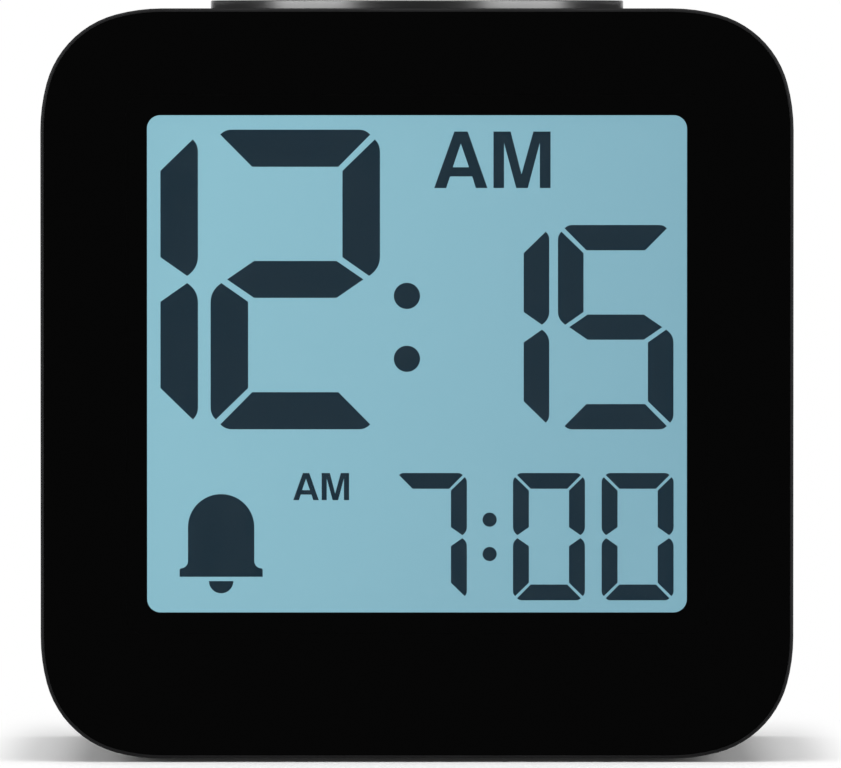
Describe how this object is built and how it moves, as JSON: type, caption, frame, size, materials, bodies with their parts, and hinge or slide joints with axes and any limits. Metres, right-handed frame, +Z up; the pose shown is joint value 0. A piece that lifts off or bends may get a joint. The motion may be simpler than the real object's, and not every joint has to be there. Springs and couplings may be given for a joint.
{
  "type": "talking alarm clock",
  "caption": "Small square alarm clock with soft corners, a black front around a liquid crystal display, a round button on top that makes it speak the time, and keys at the back.",
  "frame": {"origin": "on the table, under the middle of the case", "axes": "+Z up; the display faces -Y and the keys and battery door face +Y; +X is at the right of someone who reads the display"},
  "size_m": [0.076, 0.052, 0.0771],
  "materials": {
    "case_plastic": "fine satin grain",
    "window_glass": "polished",
    "mask_print": "flat black print",
    "display_film": "satin film",
    "display_glass": "polished",
    "clear_plastic": "polished edges",
    "lamp": "moulded",
    "frame_plastic": "moulded",
    "zebra_rubber": "layered",
    "circuit_board": "solder mask",
    "chip_resin": "resin",
    "bright_metal": "nickel plated",
    "capacitor_sleeve": "shrink sleeve",
    "socket_plastic": "moulded",
    "black_screw": "blackened",
    "button_plastic": "satin grain",
    "dome_rubber": "moulded",
    "magnet": "plated",
    "cone_paper": "pressed",
    "gasket_foam": "foam",
    "switch_plastic": "moulded",
    "key_plastic": "satin grain",
    "cell_sleeve": "printed sleeve",
    "pad_rubber": "moulded",
    "lead_sleeve": "insulation"
  },
  "bodies": {
    "case": {"front_housing": "case_plastic", "rear_panel": "case_plastic", "front_lens": "window_glass", "lens_mask": "mask_print", "lcd_front_polariser": "display_film", "lcd_rear_film": "display_film", "lcd_cell": "display_glass", "light_guide": "clear_plastic", "backlight_leds": "lamp", "lcd_frame": "frame_plastic", "button_bracket": "frame_plastic", "zebra_strips": "zebra_rubber", "main_board": "circuit_board", "talk_switch_board": "circuit_board", "left_key_board": "circuit_board", "right_key_board": "circuit_board", "driver_chip": "chip_resin", "voice_chip": "chip_resin", "quartz_crystal": "bright_metal", "board_screws": "bright_metal", "bracket_screws": "bright_metal", "key_board_screws": "bright_metal", "button_springs": "bright_metal", "battery_springs": "bright_metal", "positive_contact": "bright_metal", "negative_contact": "bright_metal", "bridge_contact": "bright_metal", "speaker_basket": "bright_metal", "board_capacitors": "capacitor_sleeve", "board_connectors": "socket_plastic", "rear_panel_screws": "black_screw", "talk_switch_dome": "dome_rubber", "speaker_magnet": "magnet", "speaker_cone": "cone_paper", "speaker_gasket": "gasket_foam", "key_switches": "switch_plastic", "slide_switches": "switch_plastic", "upper_battery": "cell_sleeve", "lower_battery": "cell_sleeve", "base_pad": "pad_rubber", "speaker_leads": "lead_sleeve", "battery_leads": "lead_sleeve", "talk_leads": "lead_sleeve", "key_ribbons": "lead_sleeve"},
    "top_button": {"top_button": "button_plastic"},
    "time_key": {"time_key": "key_plastic", "time_key_plunger": "switch_plastic"},
    "alarm_key": {"alarm_key": "key_plastic", "alarm_key_plunger": "switch_plastic"},
    "plus_key": {"plus_key": "key_plastic", "plus_key_plunger": "switch_plastic"},
    "minus_key": {"minus_key": "key_plastic", "minus_key_plunger": "switch_plastic"},
    "alarm_switch": {"alarm_knob": "key_plastic", "alarm_slider": "switch_plastic"},
    "volume_switch": {"volume_knob": "key_plastic", "volume_slider": "switch_plastic"},
    "battery_door": {"battery_door": "case_plastic"}
  },
  "joints": [
    {"name": "top_button_press", "type": "slide", "parent": "case", "child": "top_button", "axis": [0, 0, -1], "range_m": [0, 0.0008], "stiffness_N_per_m": 400, "springref_m": -0.001, "deforming": ["button_springs", "talk_switch_dome"]},
    {"name": "time_key_press", "type": "slide", "parent": "case", "child": "time_key", "axis": [0, -1, 0], "range_m": [0, 0.00035], "stiffness_N_per_m": 500, "springref_m": -0.0005},
    {"name": "alarm_key_press", "type": "slide", "parent": "case", "child": "alarm_key", "axis": [0, -1, 0], "range_m": [0, 0.00035], "stiffness_N_per_m": 500, "springref_m": -0.0005},
    {"name": "plus_key_press", "type": "slide", "parent": "case", "child": "plus_key", "axis": [0, -1, 0], "range_m": [0, 0.00035], "stiffness_N_per_m": 500, "springref_m": -0.0005},
    {"name": "minus_key_press", "type": "slide", "parent": "case", "child": "minus_key", "axis": [0, -1, 0], "range_m": [0, 0.00035], "stiffness_N_per_m": 500, "springref_m": -0.0005},
    {"name": "alarm_switch_slide", "type": "slide", "parent": "case", "child": "alarm_switch", "axis": [1, 0, 0], "range_m": [0, 0.003]},
    {"name": "volume_switch_slide", "type": "slide", "parent": "case", "child": "volume_switch", "axis": [1, 0, 0], "range_m": [0, 0.003]},
    {"name": "battery_door_hinge", "type": "hinge", "parent": "case", "child": "battery_door", "pos_m": [0, 0.0239, 0.01305], "axis": [-1, 0, 0], "range_deg": [0, 80]}
  ]
}
